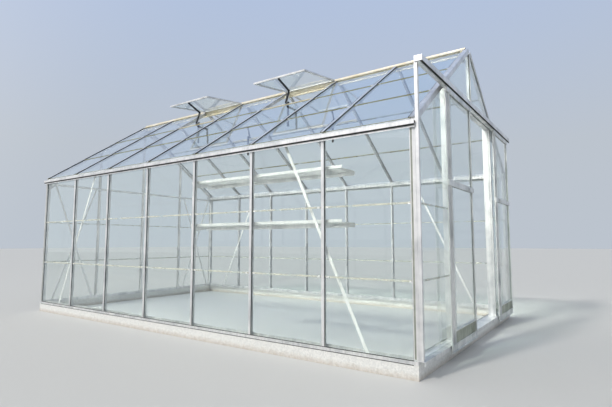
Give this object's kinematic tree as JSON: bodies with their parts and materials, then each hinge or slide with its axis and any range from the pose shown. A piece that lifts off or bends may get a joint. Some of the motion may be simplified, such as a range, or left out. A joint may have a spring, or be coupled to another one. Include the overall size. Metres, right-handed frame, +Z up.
{
  "type": "glass greenhouse",
  "caption": "Aluminium glasshouse with a pitched roof, lapped panes, hinged roof vents propped open, a steel plinth and hanging sliding double doors in the front gable.",
  "frame": {"origin": "middle of the overall width and length, doors and handles included, at ground level under the plinth", "axes": "+Z up, front gable with the doors faces -Y, +Y runs back along the ridge, +X is right seen from the front"},
  "size_m": [2.556, 4.4334, 2.3555],
  "materials": {
    "frame_aluminium": "mill finish, weathered",
    "brace_aluminium": "mill finish",
    "door_aluminium": "mill finish, weathered",
    "kick_panel_aluminium": "plain sheet, dull",
    "shelf_aluminium": "bright sheet",
    "plinth_steel": "galvanised sheet steel",
    "pane_glass": "clear float glass with green edges",
    "opener_black": "black, satin",
    "handle_aluminium": "mill finish",
    "roller_nylon": "moulded"
  },
  "bodies": {
    "house": {"corner_posts": "frame_aluminium", "door_head": "frame_aluminium", "door_jambs": "frame_aluminium", "door_track": "frame_aluminium", "gable_bar_front": "frame_aluminium", "gable_bars_rear": "frame_aluminium", "gable_glass_front": "pane_glass", "gable_glass_rear": "pane_glass", "gable_rafters_front": "frame_aluminium", "gable_rafters_rear": "frame_aluminium", "gutter_left": "frame_aluminium", "gutter_right": "frame_aluminium", "plinth_ends": "plinth_steel", "plinth_sides": "plinth_steel", "rear_braces": "brace_aluminium", "rear_tie_rail": "brace_aluminium", "ridge_beam": "frame_aluminium", "roof_bars_left": "frame_aluminium", "roof_bars_right": "frame_aluminium", "roof_glass_left": "pane_glass", "roof_glass_right": "pane_glass", "shelf_brackets": "shelf_aluminium", "shelf_lower": "shelf_aluminium", "shelf_upper": "shelf_aluminium", "sill_front": "frame_aluminium", "sill_rear": "frame_aluminium", "sill_sides": "frame_aluminium", "track_posts": "frame_aluminium", "vent_cills": "frame_aluminium", "vent_frames_left": "frame_aluminium", "vent_frames_right": "frame_aluminium", "vent_glass": "pane_glass", "vent_openers": "opener_black", "wall_bars_left": "frame_aluminium", "wall_bars_right": "frame_aluminium", "wall_braces_left": "brace_aluminium", "wall_braces_right": "brace_aluminium", "wall_glass_left": "pane_glass", "wall_glass_right": "pane_glass"},
    "door_left": {"door_left_frame": "door_aluminium", "door_left_glass": "pane_glass", "door_left_kick_panel": "kick_panel_aluminium", "door_left_handle": "handle_aluminium", "door_left_hangers": "roller_nylon"},
    "door_right": {"door_right_frame": "door_aluminium", "door_right_glass": "pane_glass", "door_right_kick_panel": "kick_panel_aluminium", "door_right_handle": "handle_aluminium", "door_right_hangers": "roller_nylon"}
  },
  "joints": [
    {"name": "door_left_slide", "type": "slide", "parent": "house", "child": "door_left", "axis": [1, 0, 0], "range_m": [-0.367, 0.203]},
    {"name": "door_right_slide", "type": "slide", "parent": "house", "child": "door_right", "axis": [1, 0, 0], "range_m": [-0.56, 0.01]}
  ]
}
